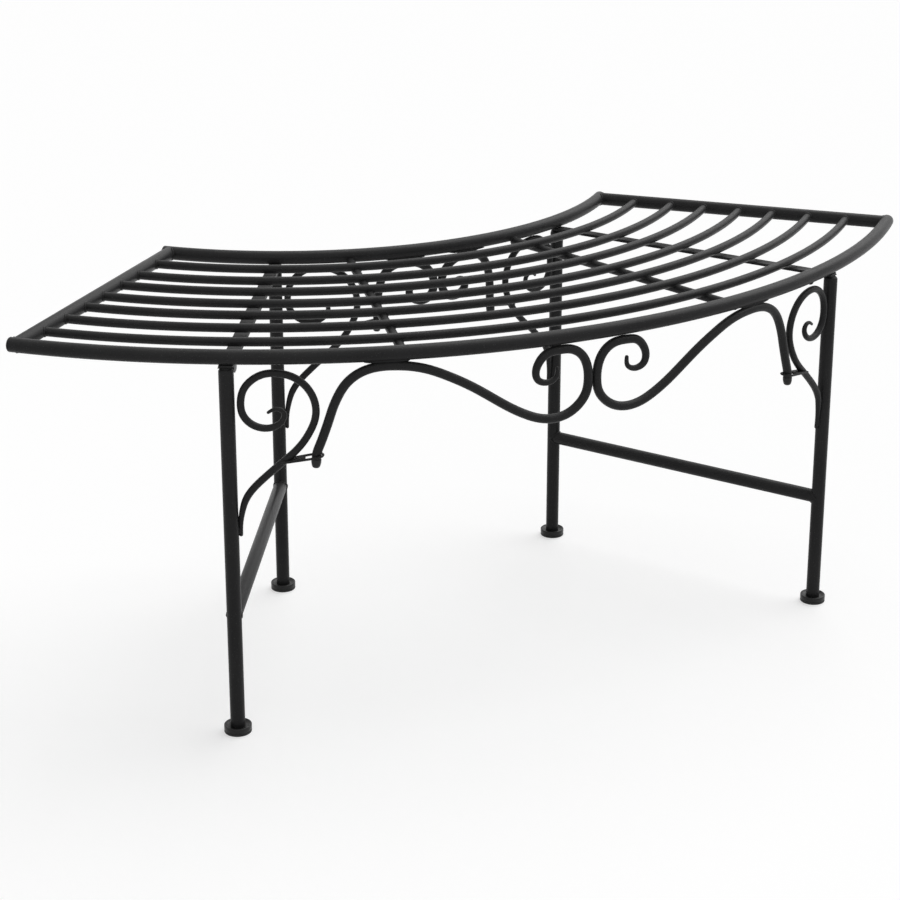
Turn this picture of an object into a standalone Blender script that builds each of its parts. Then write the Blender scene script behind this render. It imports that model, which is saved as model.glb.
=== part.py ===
"""A curved steel garden bench: one quarter of the ring of seats that stands round a tree.

Two bent tubes, the rims, carry the slats of the seat. Two leg frames stand under the seat, each with
two legs, a stretcher and a flat bar on top. Scrolls fill the corners: a bracket beside each leg, and a
pair of apron scrolls under each rim, whose ends hang in eyelets on the brackets.

Metres, +Z up. The front, the long outer side, faces -Y. "Left" is -X, as seen from the front. The tree
is behind the bench, at arc_centre_y, and the origin is under the middle of the seat on the ground.
"""

import math

import bmesh
import bpy
import numpy as np
from mathutils import Vector

# Seat: a flat sector of slats between two rims and two end tubes
seat_height = 0.434
outer_rim_radius = 0.7915
inner_rim_radius = 0.4188
seat_half_angle = math.radians(44.67)
rim_diameter = 0.016
tube_wall = 0.0015
slat_diameter = 0.010
slat_place_shares = (0.132, 0.262, 0.378, 0.5, 0.6145, 0.737, 0.8645)
cross_rod_diameter = 0.010
cross_rod_angle = math.radians(14.88)
cross_rod_notch = 0.003
rim_tail = 0.0062
plug_head = 0.0021
plug_depth = 0.011
plug_edge = 0.0014

# Leg frames
leg_diameter = 0.016
outer_leg_angle = math.radians(28.39)
inner_leg_angle = math.radians(27.11)
leg_shoulder = 0.0042
frame_bar_width = 0.015
frame_bar_thickness = 0.003
frame_bar_overhang = 0.0035
stretcher_diameter = 0.016
stretcher_height = 0.1365
lug_length = 0.016
lug_setback = 0.0193
lug_inset = 0.0019
lug_drop = 0.0128
lug_thickness = 0.003
lug_corner = 0.004

# Feet: a disc with a raised rim, a recess round the leg and a spigot in the leg's bore
foot_diameter = 0.030
foot_height = 0.0088
foot_sole = 0.004
foot_edge = 0.0010
foot_rim_width = 0.0017
foot_recess_depth = 0.0022
foot_recess_slope = 0.0036
foot_spigot_height = 0.024

# Bracket scrolls: reach is measured from the leg's axis, head gap from the rim's underside. A tail lies a
# little on the tree's side of its leg, and the scroll swings out under the rim over the swing run.
bracket_diameter = 0.008
bracket_tip_diameter = 0.0030
bracket_tip_run_share = 0.18
bracket_tail_diameter = 0.0042
bracket_tail_run_share = 0.125
bracket_tail_inset = 0.0034
bracket_tail_swing_run = 0.040
outer_bracket_head_gap = 0.0054
outer_bracket_reach = 0.0912
outer_bracket_height = 0.182
inner_bracket_head_gap = 0.001
inner_bracket_reach = 0.0972
inner_bracket_height = 0.203

# Apron scrolls
apron_diameter = 0.010
apron_tip_diameter = 0.0040
apron_tip_run_share = 0.17
apron_end_lean = math.radians(3)
apron_offset = 0.0025
apron_swing_run = 0.04

# Eyelets: wires bent round the aprons' ends, whose own ends straddle the brackets. The reach is measured
# from the bracket's centre line to the apron's, and the place is a share of the bracket's height.
eyelet_wire_diameter = 0.0026
eyelet_clearance = 0.0008
eyelet_tilt = math.radians(8.5)
eyelet_overlap = 0.003
outer_eyelet_reach = 0.0341
outer_eyelet_place_share = 0.47
inner_eyelet_reach = 0.0334
inner_eyelet_place_share = 0.629

# Pegs on the aprons' ends, below the eyelets, and the caps over them
peg_diameter = 0.007
peg_length = 0.0075
peg_shoulder = 0.0004
cap_diameter = 0.0106
cap_length = 0.0100
cap_nose_diameter = 0.0084
cap_skirt = 0.0035

# Fits: fixed pieces lie this far apart, and cutters run this far past what they cut
gap = 0.0003
cut_overrun = 0.012

# How finely the round forms are drawn
tube_sides = 12
rod_sides = 8
turned_sides = 16
eyelet_turn_steps = 8
corner_steps = 3
outer_arc_steps = 22
inner_arc_steps = 16
slat_arc_steps = 18
scroll_turn_step = math.radians(20)
scroll_length_step = 0.045
scroll_samples = 600

# A bracket's centre line from its tail on the leg to the tip of its curl: how far out from the tail and
# how far up, as shares of its reach and height
bracket_outline_shares = (
    (0, 0), (0.003, 0.09), (0.029, 0.161), (0.083, 0.238), (0.174, 0.3), (0.32, 0.367), (0.517, 0.446),
    (0.689, 0.513), (0.813, 0.573), (0.917, 0.645), (0.98, 0.711), (1, 0.766), (0.985, 0.826),
    (0.936, 0.881), (0.862, 0.927), (0.763, 0.964), (0.64, 0.989), (0.492, 1), (0.344, 0.993),
    (0.197, 0.958), (0.092, 0.902), (0.051, 0.826), (0.068, 0.76), (0.147, 0.708), (0.258, 0.679),
    (0.375, 0.671), (0.492, 0.684), (0.579, 0.719), (0.597, 0.758), (0.548, 0.782), (0.468, 0.783),
    (0.381, 0.76))

# The front apron's centre line from the eyelet to the tip of its curl: how far from the middle and how
# far down, as shares of its half span and drop
front_apron_outline_shares = (
    (1, 1), (0.987, 0.871), (0.97, 0.73), (0.954, 0.584), (0.941, 0.459), (0.924, 0.333),
    (0.903, 0.218), (0.873, 0.116), (0.832, 0.041), (0.776, 0), (0.715, 0), (0.665, 0.018),
    (0.604, 0.067), (0.533, 0.162), (0.455, 0.292), (0.381, 0.441), (0.31, 0.588), (0.246, 0.699),
    (0.192, 0.766), (0.141, 0.79), (0.087, 0.764), (0.038, 0.672), (0.008, 0.542), (0, 0.386),
    (0.006, 0.229), (0.033, 0.08), (0.074, 0.009), (0.121, 0), (0.166, 0.024), (0.2, 0.131),
    (0.209, 0.245), (0.2, 0.318), (0.177, 0.356), (0.148, 0.351), (0.129, 0.307), (0.125, 0.245),
    (0.126, 0.19))

# The back apron's centre line, in the same way
back_apron_outline_shares = (
    (1, 1), (0.989, 0.828), (0.986, 0.642), (0.968, 0.471), (0.927, 0.299), (0.83, 0.127),
    (0.677, 0.027), (0.483, 0), (0.289, 0.034), (0.116, 0.149), (0.026, 0.292), (0, 0.442),
    (0.04, 0.592), (0.13, 0.682), (0.234, 0.704), (0.358, 0.667), (0.441, 0.567), (0.432, 0.471),
    (0.358, 0.416), (0.275, 0.431), (0.238, 0.492))

# Heights and places that follow from the sizes
rim_radius = rim_diameter / 2
slat_radius = slat_diameter / 2
leg_radius = leg_diameter / 2
rim_height = seat_height - rim_radius
rim_underside = rim_height - rim_radius
slat_underside = rim_height - slat_radius
frame_bar_top = rim_underside - gap
frame_bar_underside = frame_bar_top - frame_bar_thickness
leg_top = frame_bar_underside - gap
leg_bore_radius = leg_radius - tube_wall
rim_bore_radius = rim_radius - tube_wall
rim_end_angle = seat_half_angle + (rim_tail + gap + plug_head) / inner_rim_radius
seat_front = outer_rim_radius + rim_radius
seat_back = (inner_rim_radius - rim_radius) * math.cos(rim_end_angle)
arc_centre_y = (seat_front + seat_back) / 2

# From the middle of a tilted eyelet down the apron's axis to the top of the cap
peg_run = eyelet_wire_diameter / 2 + (cap_diameter / 2) * math.tan(eyelet_tilt) + gap

sides = {"left": -1, "right": 1}

coat_colour = (0.017, 0.017, 0.018, 1)
plastic_colour = (0.013, 0.013, 0.013, 1)


def clear_scene():
    for old in list(bpy.data.objects):
        bpy.data.objects.remove(old, do_unlink=True)


def finish(name, colour, roughness, metallic):
    """A Principled material with the one colour of a coated or moulded piece."""
    material = bpy.data.materials.new(name)
    material.use_nodes = True
    shader = material.node_tree.nodes["Principled BSDF"]
    shader.inputs["Base Color"].default_value = colour
    shader.inputs["Roughness"].default_value = roughness
    shader.inputs["Metallic"].default_value = metallic
    return material


def arc_point(radius, along, height):
    """The point this far round an arc of the bench, from its middle towards the right."""
    angle = along / radius
    return Vector((radius * math.sin(angle), arc_centre_y - radius * math.cos(angle), height))


def outward(point):
    """The level direction away from the tree at a point."""
    return Vector((point.x, point.y - arc_centre_y, 0)).normalized()


def tangents(path):
    """The direction of a path at each of its points, one-sided at the ends."""
    last = len(path) - 1
    return [(path[min(i + 1, last)] - path[max(i - 1, 0)]).normalized() for i in range(len(path))]


def ring(mesh, centre, along, across, radius, sides_count):
    """A circle of vertices round a centre, square to `along`, with its first vertex towards `across`."""
    first = (across - along * across.dot(along)).normalized()
    second = along.cross(first)
    turns = [2 * math.pi * i / sides_count for i in range(sides_count)]
    return [mesh.verts.new(centre + radius * (math.cos(a) * first + math.sin(a) * second)) for a in turns]


def skin(mesh, rings, closed):
    """Faces from each ring to the next; the chain of rings closes on itself or gets two end caps."""
    pairs = list(zip(rings, rings[1:]))
    if closed:
        pairs.append((rings[-1], rings[0]))
    for lower, upper in pairs:
        for i in range(len(lower)):
            j = (i + 1) % len(lower)
            mesh.faces.new((lower[i], lower[j], upper[j], upper[i]))
    if not closed:
        mesh.faces.new(rings[0])
        mesh.faces.new(rings[-1])


def place(name, mesh, material):
    """A finished object from a mesh in progress, with its faces out and its round sides smooth."""
    bmesh.ops.recalc_face_normals(mesh, faces=mesh.faces)
    data = bpy.data.meshes.new(name)
    mesh.to_mesh(data)
    mesh.free()
    data.shade_smooth()
    data.set_sharp_from_angle(angle=math.radians(40))
    piece = bpy.data.objects.new(name, data)
    bpy.context.scene.collection.objects.link(piece)
    if material:
        data.materials.append(material)
    return piece


def rod(name, path, radii, sides_count, material, across=None):
    """A solid round bar along a path."""
    mesh = bmesh.new()
    rings = [ring(mesh, centre, along, across or outward(centre), radius, sides_count)
             for centre, along, radius in zip(path, tangents(path), radii)]
    skin(mesh, rings, closed=False)
    return place(name, mesh, material)


def tube(name, path, radius, wall, sides_count, material, across=None):
    """A round tube along a path, open at both ends."""
    mesh = bmesh.new()
    stations = list(zip(path, tangents(path)))
    outside = [ring(mesh, centre, along, across or outward(centre), radius, sides_count)
               for centre, along in stations]
    inside = [ring(mesh, centre, along, across or outward(centre), radius - wall, sides_count)
              for centre, along in stations]
    skin(mesh, outside + inside[::-1], closed=True)
    return place(name, mesh, material)


def turned(name, base, axis, across, profile, sides_count, material):
    """A turned solid: the profile lists (radius, distance along the axis) from one end cap to the other."""
    mesh = bmesh.new()
    rings = [ring(mesh, base + axis * distance, axis, across, radius, sides_count)
             for radius, distance in profile]
    skin(mesh, rings, closed=False)
    return place(name, mesh, material)


def plate(name, corner_points, thickness, material):
    """A flat plate: an outline of points pushed out by a vector."""
    mesh = bmesh.new()
    near = [mesh.verts.new(point) for point in corner_points]
    far = [mesh.verts.new(point + thickness) for point in corner_points]
    skin(mesh, [near, far], closed=False)
    return place(name, mesh, material)


def quarter_round(radius, steps):
    """(across, along) pairs of a rounded edge, from where it leaves the side to where it meets the end."""
    turns = [math.pi / 2 * i / steps for i in range(steps + 1)]
    return [(radius * math.cos(a) - radius, radius * math.sin(a) - radius) for a in turns]


def cutter(name, path, radius, sides_count, across=None):
    """A bar that only cuts: a neighbour's own path, fatter by the gap between the two pieces."""
    bar = rod(name, path, [radius + gap] * len(path), sides_count, None, across)
    bar.display_type = "WIRE"
    bar.hide_render = True
    return bar


def cope(piece, *cutters):
    """Shape a piece's ends to the neighbours that it butts against."""
    for bar in cutters:
        cut = piece.modifiers.new("cope_" + bar.name, "BOOLEAN")
        cut.operation = "DIFFERENCE"
        cut.solver = "EXACT"
        cut.object = bar


def bent_path(radius, half_angle, steps, end_run):
    """Points along an arc of the seat; the last stretch at each end is short, so that it runs true."""
    along_end = radius * half_angle
    along_inner = along_end - end_run
    inner = [-along_inner + 2 * along_inner * i / steps for i in range(steps + 1)]
    return [arc_point(radius, along, rim_height) for along in [-along_end] + inner + [along_end]]


def run_past(path, length):
    """The same path with both ends carried straight on."""
    start = path[0] + (path[0] - path[1]).normalized() * length
    end = path[-1] + (path[-1] - path[-2]).normalized() * length
    return [start] + path[1:-1] + [end]


def smooth_line(points):
    """Many points on the smoothest curve through a few: a natural cubic spline over the chord lengths."""
    points = np.array(points)
    knots = np.concatenate([[0], np.cumsum(np.linalg.norm(np.diff(points, axis=0), axis=1))])
    steps = np.diff(knots)[:, None]
    slopes = np.diff(points, axis=0) / steps
    count = len(points)
    system = np.eye(count)
    target = np.zeros_like(points)
    for i in range(1, count - 1):
        system[i, i - 1:i + 2] = steps[i - 1, 0], 2 * (steps[i - 1, 0] + steps[i, 0]), steps[i, 0]
        target[i] = 6 * (slopes[i] - slopes[i - 1])
    bend = np.linalg.solve(system, target)
    places = np.linspace(0, knots[-1], scroll_samples)
    line = []
    for along in places:
        i = min(np.searchsorted(knots, along, side="right") - 1, count - 2)
        before, after, step = along - knots[i], knots[i + 1] - along, steps[i, 0]
        line.append((bend[i] * after ** 3 + bend[i + 1] * before ** 3) / (6 * step)
                    + (points[i] / step - bend[i] * step / 6) * after
                    + (points[i + 1] / step - bend[i + 1] * step / 6) * before)
    return np.array(line)


def draw_scroll(outline):
    """A scroll's centre line in its own flat: few points where it runs straight, more where it curls."""
    line = smooth_line(outline)
    chords = np.diff(line, axis=0)
    lengths = np.linalg.norm(chords, axis=1)
    headings = np.unwrap(np.arctan2(chords[:, 1], chords[:, 0]))
    turns = np.abs(np.diff(headings, prepend=headings[0]))
    effort = np.concatenate([[0], np.cumsum(turns / scroll_turn_step + lengths / scroll_length_step)])
    wanted = np.linspace(0, effort[-1], math.ceil(effort[-1]) + 1)
    along = np.concatenate([[0], np.cumsum(lengths)])
    places = np.interp(wanted, effort, along)
    out, up = (np.interp(places, along, line[:, i]).tolist() for i in (0, 1))
    return list(zip(out, up)), (places / along[-1]).tolist()


def tapered(shares, diameter, tip_diameter, tip_run_share):
    """Radii along a scroll that is drawn down to a thinner tip over its last stretch, slowly at first."""
    start = 1 - tip_run_share
    drawn = [max(0, (share - start) / tip_run_share) ** 2 for share in shares]
    return [(diameter + (tip_diameter - diameter) * share) / 2 for share in drawn]


def make_rims(coat, plastic):
    """The two bent tubes at the edges of the seat, with a domed plug in each open end."""
    paths = {}
    up = Vector((0, 0, 1))
    edge = [(rim_radius + a, gap + plug_head + b) for a, b in quarter_round(plug_edge, corner_steps)]
    spigot_radius = rim_bore_radius - gap
    plug_profile = [(spigot_radius, -plug_depth), (spigot_radius, gap), (rim_radius, gap)] + edge
    for name, radius, steps in (("outer", outer_rim_radius, outer_arc_steps),
                                ("inner", inner_rim_radius, inner_arc_steps)):
        half_angle = seat_half_angle + rim_tail / radius
        path = bent_path(radius, half_angle, steps, plug_depth + rim_tail)
        paths[name] = path
        tube(name + "_rim", path, rim_radius, tube_wall, tube_sides, coat)
        for side, end, before in (("left", path[0], path[1]), ("right", path[-1], path[-2])):
            axis = (end - before).normalized()
            turned("%s_rim_plug_%s" % (name, side), end, axis, up, plug_profile, tube_sides, plastic)
    return paths


def make_seat(rim_paths, coat):
    """The end tubes, the slats between them and the two notched cross rods under the slats."""
    rim_cutters = [cutter("cut_by_" + name + "_rim", run_past(path, cut_overrun), rim_radius, tube_sides)
                   for name, path in rim_paths.items()]
    up = Vector((0, 0, 1))
    end_tube_cutters = []
    slat_cutters = []
    for side, sign in sides.items():
        ends = [arc_point(radius, sign * radius * seat_half_angle, rim_height)
                for radius in (inner_rim_radius, outer_rim_radius)]
        end_tube = tube("end_tube_" + side, ends, rim_radius, tube_wall, tube_sides, coat, up)
        cope(end_tube, *rim_cutters)
        end_tube_cutters.append(cutter("cut_by_end_tube_" + side, ends, rim_radius, tube_sides, up))
    for number, share in enumerate(slat_place_shares, start=1):
        radius = inner_rim_radius + share * (outer_rim_radius - inner_rim_radius)
        path = bent_path(radius, seat_half_angle, slat_arc_steps, rim_diameter)
        slat = rod("slat_%d" % number, path, [slat_radius] * len(path), rod_sides, coat)
        cope(slat, *end_tube_cutters)
        slat_cutters.append(cutter("cut_by_slat_%d" % number, path, slat_radius, rod_sides))
    rod_radius = cross_rod_diameter / 2
    rod_height = slat_underside + cross_rod_notch - rod_radius
    rod_stop = apron_diameter / 2 + gap
    for side, sign in sides.items():
        ends = [arc_point(radius, sign * radius * cross_rod_angle, rod_height)
                for radius in (inner_rim_radius + rod_stop, outer_rim_radius - rod_stop)]
        cross_rod = rod("cross_rod_" + side, ends, [rod_radius] * 2, rod_sides, coat, up)
        cope(cross_rod, *rim_cutters, *slat_cutters)


def make_leg(name, centre, coat, plastic):
    """A leg tube, closed and rounded at its top, and the foot that its lower end stands in."""
    up = Vector((0, 0, 1))
    across = Vector((1, 0, 0))
    leg_bottom = foot_sole + gap
    shoulder = [(leg_radius + a, leg_top + b) for a, b in quarter_round(leg_shoulder, corner_steps)]
    leg_profile = [(leg_bore_radius, leg_top - leg_shoulder), (leg_bore_radius, leg_bottom),
                   (leg_radius, leg_bottom)] + shoulder
    turned(name, centre, up, across, leg_profile, turned_sides, coat)
    foot_radius = foot_diameter / 2
    rim_inside = foot_radius - foot_rim_width
    recess_height = foot_height - foot_recess_depth
    socket_radius = leg_radius + gap
    spigot_radius = leg_bore_radius - gap
    foot_profile = [
        (foot_radius - foot_edge, 0), (foot_radius, foot_edge),
        (foot_radius, foot_height - foot_edge), (foot_radius - foot_edge, foot_height),
        (rim_inside, foot_height), (rim_inside - foot_recess_slope, recess_height),
        (socket_radius, recess_height), (socket_radius, foot_sole),
        (spigot_radius, foot_sole), (spigot_radius, foot_spigot_height)]
    turned(name.replace("leg", "foot"), centre, up, across, foot_profile, turned_sides, plastic)


def make_leg_frame(side, sign, coat, plastic):
    """Two legs and what joins them: a stretcher low down and a flat bar with a lug under it on top."""
    up = Vector((0, 0, 1))
    outer_foot = arc_point(outer_rim_radius, sign * outer_rim_radius * outer_leg_angle, 0)
    inner_foot = arc_point(inner_rim_radius, sign * inner_rim_radius * inner_leg_angle, 0)
    make_leg("outer_leg_" + side, outer_foot, coat, plastic)
    make_leg("inner_leg_" + side, inner_foot, coat, plastic)
    out = (outer_foot - inner_foot).normalized()
    to_middle = out.cross(up) * sign
    middle_height = up * stretcher_height
    leg_cutters = [cutter("cut_by_%s_leg_%s" % (which, side), [foot, foot + up * leg_top], leg_radius,
                          turned_sides, Vector((1, 0, 0)))
                   for which, foot in (("outer", outer_foot), ("inner", inner_foot))]
    stretcher = tube("stretcher_" + side, [inner_foot + middle_height, outer_foot + middle_height],
                     stretcher_diameter / 2, tube_wall, tube_sides, coat, up)
    cope(stretcher, *leg_cutters)
    half_width = to_middle * (frame_bar_width / 2)
    bar_start = inner_foot - out * frame_bar_overhang + up * frame_bar_underside
    bar_end = outer_foot + out * frame_bar_overhang + up * frame_bar_underside
    bar_outline = [bar_start - half_width, bar_start + half_width, bar_end + half_width, bar_end - half_width]
    plate("frame_bar_" + side, bar_outline, up * frame_bar_thickness, coat)
    lug_top = outer_foot - out * lug_setback + half_width - to_middle * lug_inset + up * leg_top
    corner = [(lug_corner + a, lug_corner + b) for a, b in quarter_round(lug_corner, corner_steps)]
    inner_corner = [(lug_length - lug_corner + a, lug_drop - lug_corner + b) for a, b in corner]
    outer_corner = [(lug_corner - a, lug_drop - lug_corner + b) for a, b in corner[::-1]]
    lug_outline = [(0, 0), (lug_length, 0)] + inner_corner + outer_corner
    lug_points = [lug_top - out * across - up * down for across, down in lug_outline]
    plate("frame_lug_" + side, lug_points, -to_middle * lug_thickness, coat)


def bracket_path(radius, leg_along, sign, reach, head_gap, height):
    """A bracket's centre line under its rim, from the tail on the side of the leg towards the middle."""
    tail_radius = bracket_tail_diameter / 2
    contact = math.sqrt((leg_radius + gap + tail_radius) ** 2 - bracket_tail_inset ** 2)
    top = rim_underside - head_gap - bracket_diameter / 2
    outline = [(contact + a * (reach - contact), top - height + b * height) for a, b in bracket_outline_shares]
    points, shares = draw_scroll(outline)
    path = []
    for out, up in points:
        inset = bracket_tail_inset * max(0, 1 - (up - top + height) / bracket_tail_swing_run)
        path.append(arc_point(radius - inset, sign * (leg_along - out) * (radius - inset) / radius, up))
    radii = tapered(shares, bracket_diameter, bracket_tip_diameter, bracket_tip_run_share)
    grown = [min(1, share / bracket_tail_run_share) ** 2 for share in shares]
    return path, [tail_radius + (full - tail_radius) * share for full, share in zip(radii, grown)]


def on_the_way_up(path, share):
    """The point of a bracket's centre line at a share of its height, between its tail and its top."""
    height = path[0].z + share * (max(point.z for point in path) - path[0].z)
    for before, after in zip(path, path[1:]):
        if after.z >= height:
            return before.lerp(after, (height - before.z) / (after.z - before.z))


def eyelet_centre(radius, sign, seat, reach):
    """Where an apron's axis passes through its eyelet, up and towards the middle from its seat on the bracket."""
    along = radius * math.atan2(sign * seat.x, arc_centre_y - seat.y) - reach * math.cos(eyelet_tilt)
    return along, seat.z + reach * math.sin(eyelet_tilt)


def apron_path(radius, sign, half_span, end_height, outline_shares):
    """An apron scroll's centre line, a little outside its rim; the lower end swings in to the eyelet."""
    apron_radius = apron_diameter / 2
    contact = apron_radius + gap / 2
    top = rim_height - math.sqrt((rim_radius + gap + apron_radius) ** 2 - apron_offset ** 2)
    drop = top - end_height
    outline = [(contact + a * (half_span - contact), top - b * drop) for a, b in outline_shares]
    run = peg_run + peg_length
    end = (half_span + run * math.sin(apron_end_lean), end_height - run * math.cos(apron_end_lean))
    points, shares = draw_scroll([end] + outline)
    path = []
    for out, up in points:
        offset = apron_offset * min(1, max(0, half_span - out) / apron_swing_run)
        path.append(arc_point(radius + offset, sign * out * (radius + offset) / radius, up))
    return path, tapered(shares, apron_diameter, apron_tip_diameter, apron_tip_run_share)


def add_peg(path, radii):
    """Turn the lower end of an apron down to a thinner peg, which the end cap fits over."""
    axis = (path[0] - path[1]).normalized()
    shoulder = path[0] - axis * peg_length
    peg_top = shoulder + axis * peg_shoulder
    beyond = [i for i, point in enumerate(path) if (point - path[0]).length > peg_length + peg_shoulder]
    first = beyond[0]
    peg_radii = [peg_diameter / 2] * 2
    return [path[0], peg_top, shoulder] + path[first:], peg_radii + [radii[0]] + radii[first:]


def make_eyelet(name, centre, seat, coat):
    """A wire bent round the apron's axis at the centre; its two ends lie beside the bracket at the seat."""
    wire_radius = eyelet_wire_diameter / 2
    arm = (seat - centre).normalized()
    radial = (outward(seat) - arm * arm.dot(outward(seat))).normalized()
    turn_radius = apron_diameter / 2 + eyelet_clearance + wire_radius
    turns = [math.pi * i / eyelet_turn_steps for i in range(eyelet_turn_steps + 1)]
    bend = [centre + turn_radius * (math.cos(a) * radial - math.sin(a) * arm) for a in turns]
    beside = radial * (bracket_diameter / 2 + gap + wire_radius)
    tip = seat + arm * eyelet_overlap
    path = [tip + beside] + bend + [tip - beside]
    rod(name, path, [wire_radius] * len(path), rod_sides, coat, arm.cross(radial))


def make_cap(name, end, axis, plastic):
    """The bullet-shaped cap that closes an apron's lower end, pushed over its peg."""
    cap_radius = cap_diameter / 2
    nose_radius = cap_nose_diameter / 2
    bore_radius = peg_diameter / 2 + gap
    mouth = peg_length - gap
    nose = [(nose_radius + a, cap_length + b) for a, b in quarter_round(nose_radius / 2, corner_steps)]
    profile = [(bore_radius, mouth + gap * 2), (bore_radius, 0), (cap_radius, 0), (cap_radius, cap_skirt)]
    turned(name, end - axis * mouth, axis, outward(end), profile + nose, tube_sides, plastic)


def make_scrolls(side, sign, coat, plastic):
    """On one side of the bench: both brackets, both aprons, and the eyelets and caps between them."""
    plans = (("outer", "front", outer_rim_radius, outer_leg_angle,
              (outer_bracket_reach, outer_bracket_head_gap, outer_bracket_height),
              (outer_eyelet_place_share, outer_eyelet_reach), front_apron_outline_shares),
             ("inner", "back", inner_rim_radius, inner_leg_angle,
              (inner_bracket_reach, inner_bracket_head_gap, inner_bracket_height),
              (inner_eyelet_place_share, inner_eyelet_reach), back_apron_outline_shares))
    for where, row, radius, leg_angle, bracket_sizes, (place_share, reach), apron_shares in plans:
        bracket, bracket_radii = bracket_path(radius, radius * leg_angle, sign, *bracket_sizes)
        rod("%s_bracket_%s" % (where, side), bracket, bracket_radii, rod_sides, coat)
        seat = on_the_way_up(bracket, place_share)
        half_span, end_height = eyelet_centre(radius, sign, seat, reach)
        make_eyelet("%s_eyelet_%s" % (row, side), arc_point(radius, sign * half_span, end_height), seat, coat)
        path, radii = apron_path(radius, sign, half_span, end_height, apron_shares)
        axis = (path[0] - path[1]).normalized()
        make_cap("%s_apron_cap_%s" % (row, side), path[0].copy(), axis, plastic)
        path, radii = add_peg(path, radii)
        rod("%s_apron_%s" % (row, side), path, radii, rod_sides, coat)


def build():
    clear_scene()
    coat = finish("black_powder_coat", coat_colour, 0.42, 0.0)
    plastic = finish("black_plastic", plastic_colour, 0.55, 0.0)
    rim_paths = make_rims(coat, plastic)
    make_seat(rim_paths, coat)
    for side, sign in sides.items():
        make_leg_frame(side, sign, coat, plastic)
        make_scrolls(side, sign, coat, plastic)


build()
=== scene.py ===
"""The looks of the tree bench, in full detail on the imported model.

Metres, +Z up. The front, the long outer side, faces -Y. "Left" is -X, as seen from the front. The
tree is behind the bench, at arc_centre_y, and the origin is on the ground under the seat's middle.
"""

import math

import bmesh
import bpy
import numpy as np
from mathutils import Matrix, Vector


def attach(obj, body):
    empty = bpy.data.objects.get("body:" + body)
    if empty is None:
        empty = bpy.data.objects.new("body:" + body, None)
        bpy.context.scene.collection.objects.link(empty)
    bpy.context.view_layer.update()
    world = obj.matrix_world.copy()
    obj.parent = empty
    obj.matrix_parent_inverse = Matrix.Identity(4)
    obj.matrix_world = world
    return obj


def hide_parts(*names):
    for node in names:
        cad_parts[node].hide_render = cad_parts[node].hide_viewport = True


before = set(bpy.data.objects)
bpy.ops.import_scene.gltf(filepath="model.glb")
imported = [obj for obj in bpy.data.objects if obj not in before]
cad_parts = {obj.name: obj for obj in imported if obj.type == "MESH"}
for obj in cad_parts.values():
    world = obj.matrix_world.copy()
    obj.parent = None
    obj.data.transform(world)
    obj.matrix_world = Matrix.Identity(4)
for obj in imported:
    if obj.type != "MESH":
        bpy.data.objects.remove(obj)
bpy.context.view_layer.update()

# Seat: a flat sector of slats between two rims and two end tubes
seat_height = 0.434
outer_rim_radius = 0.7915
inner_rim_radius = 0.4188
seat_half_angle = math.radians(44.67)
rim_radius = 0.008
slat_radius = 0.005
slat_place_shares = (0.132, 0.262, 0.378, 0.5, 0.6145, 0.737, 0.8645)
cross_rod_radius = 0.005
cross_rod_angle = math.radians(14.88)
cross_rod_notch = 0.003
rim_tail = 0.0062
plug_head = 0.0021
plug_edge = 0.0016
plug_crown = 0.0003
plug_crown_shares = (0.75, 0.5, 0.25, 0.05)
plug_neck_share = 0.7

# Leg frames
leg_radius = 0.008
outer_leg_angle = math.radians(28.39)
inner_leg_angle = math.radians(27.11)
leg_shoulder = 0.0042
frame_bar_width = 0.015
frame_bar_thickness = 0.003
frame_bar_overhang = 0.0035
frame_bar_edge = 0.0007
stretcher_radius = 0.008
stretcher_height = 0.1365
lug_length = 0.016
lug_setback = 0.0193
lug_inset = 0.0019
lug_drop = 0.0128
lug_thickness = 0.003
lug_corner = 0.004
lug_edge = 0.0005

# Feet
foot_radius = 0.015
foot_height = 0.0088
foot_sole = 0.004
foot_lower_edge = 0.0010
foot_upper_edge = 0.0008
foot_inner_edge = 0.0006
foot_rim_width = 0.0017
foot_recess_depth = 0.0022
foot_recess_slope = 0.0036
foot_groove_height = 0.0028
foot_groove_depth = 0.0009
foot_groove_half_width = 0.0006

# Bracket scrolls: a tail lies a little on the tree's side of its leg and swings out over a run
bracket_radius = 0.004
bracket_tip_radius = 0.0015
bracket_tip_run_share = 0.18
bracket_tail_radius = 0.0021
bracket_tail_run_share = 0.125
bracket_tail_inset = 0.0034
bracket_tail_swing_run = 0.040

# Apron scrolls
apron_radius = 0.005
apron_tip_radius = 0.0020
apron_tip_run_share = 0.17
apron_end_lean = math.radians(3)
apron_offset = 0.0025
apron_swing_run = 0.04

# Eyelets of wire, the pegs in them and the caps on the pegs
wire_radius = 0.0013
eyelet_clearance = 0.0008
eyelet_tilt = math.radians(8.5)
eyelet_overlap = 0.003
peg_radius = 0.0035
peg_length = 0.0075
cap_radius = 0.0053
cap_length = 0.0100
cap_lip = 0.0006
cap_bore_share = 0.4

# Fixed pieces lie the gap apart. A butted rod runs the butt depth into its tube, and a coped tube
# runs the cope depth into the other.
gap = 0.0003
butt_depth = 0.0025
cope_depth = butt_depth * 3

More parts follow.
